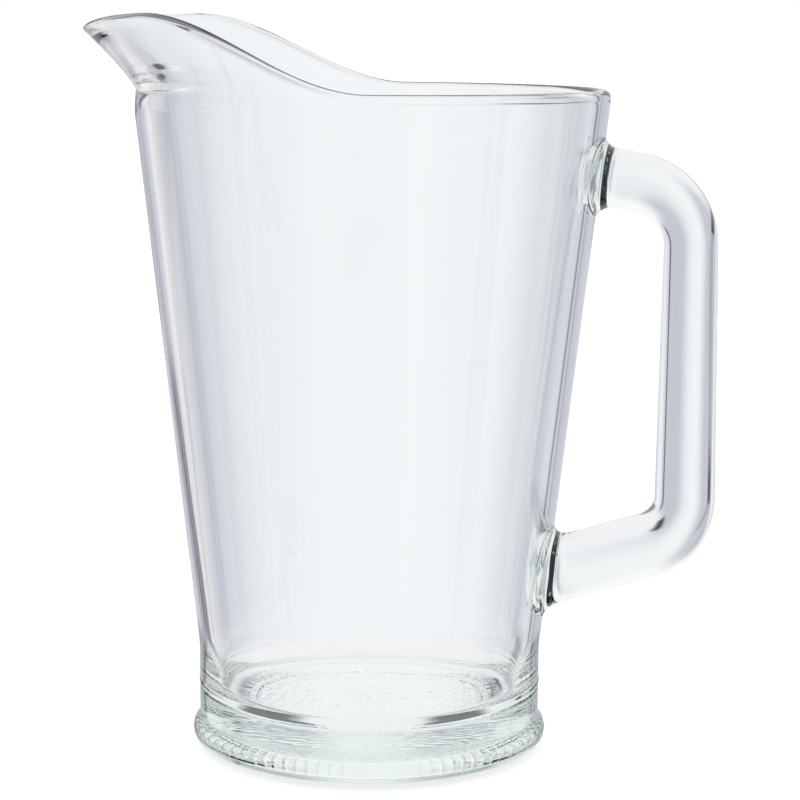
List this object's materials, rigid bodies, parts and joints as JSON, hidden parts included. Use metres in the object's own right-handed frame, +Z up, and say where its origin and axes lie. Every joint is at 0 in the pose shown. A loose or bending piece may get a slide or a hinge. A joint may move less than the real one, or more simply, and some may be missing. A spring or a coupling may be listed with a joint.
{
  "type": "beer pitcher",
  "caption": "Clear pressed-glass beer pitcher with a tapered round wall, thick footed base, swept-up rim with a pulled pouring lip, and a solid glass loop handle.",
  "frame": {"origin": "centre of the underside, on the table that the pitcher rests on", "axes": "+Z up along the round wall's axis, +X toward the handle, -X toward the pouring lip"},
  "size_m": [0.1879, 0.14, 0.2189],
  "materials": {
    "base_glass": "fire-polished pressed glass, thick, with a faint grey-green tint",
    "body_glass": "clear fire-polished pressed glass",
    "handle_glass": "clear fire-polished solid glass"
  },
  "bodies": {
    "root": {"foot_base": "base_glass", "body_wall": "body_glass", "spout_rim": "body_glass", "handle": "handle_glass"}
  },
  "joints": []
}
